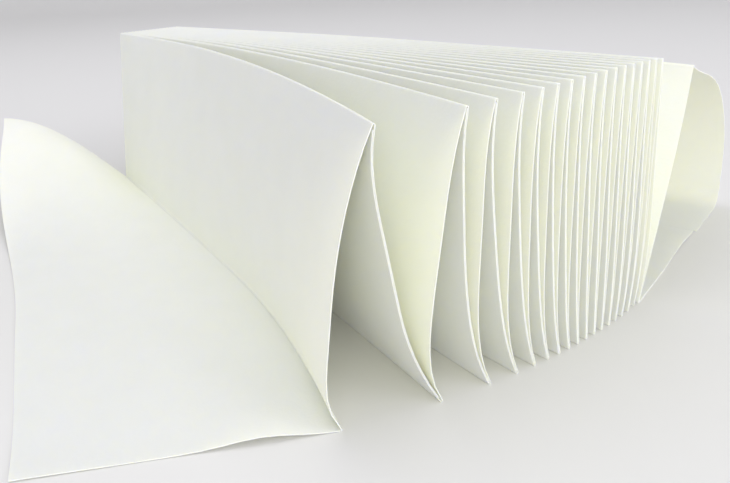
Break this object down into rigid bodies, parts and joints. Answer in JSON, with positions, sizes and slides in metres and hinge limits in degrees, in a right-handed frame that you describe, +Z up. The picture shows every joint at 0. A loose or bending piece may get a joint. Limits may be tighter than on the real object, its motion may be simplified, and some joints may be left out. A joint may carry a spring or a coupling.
{
  "type": "stack of paper hand towels",
  "caption": "Interfolded paper hand towels standing fanned out on their folds, the first towel opened flat at one side and the last arching down to the surface at the other.",
  "frame": {"origin": "centre of the stack's footprint, on the surface that the folds stand on", "axes": "+X across the folds, from the opened first towel to the arching last one; +Y along the folds, away from the side that the camera sees; +Z up"},
  "size_m": [0.2787, 0.2694, 0.0748],
  "materials": {
    "paper": "matte, lightly embossed, slightly see-through soft paper"
  },
  "bodies": {
    "root": {"towel_01_opened": "paper", "towel_02": "paper", "towel_03": "paper", "towel_04": "paper", "towel_05": "paper", "towel_06": "paper", "towel_07": "paper", "towel_08": "paper", "towel_09": "paper", "towel_10": "paper", "towel_11": "paper", "towel_12": "paper", "towel_13": "paper", "towel_14": "paper", "towel_15": "paper", "towel_16": "paper", "towel_17_laid_out": "paper", "towel_18_arching": "paper"}
  },
  "joints": []
}
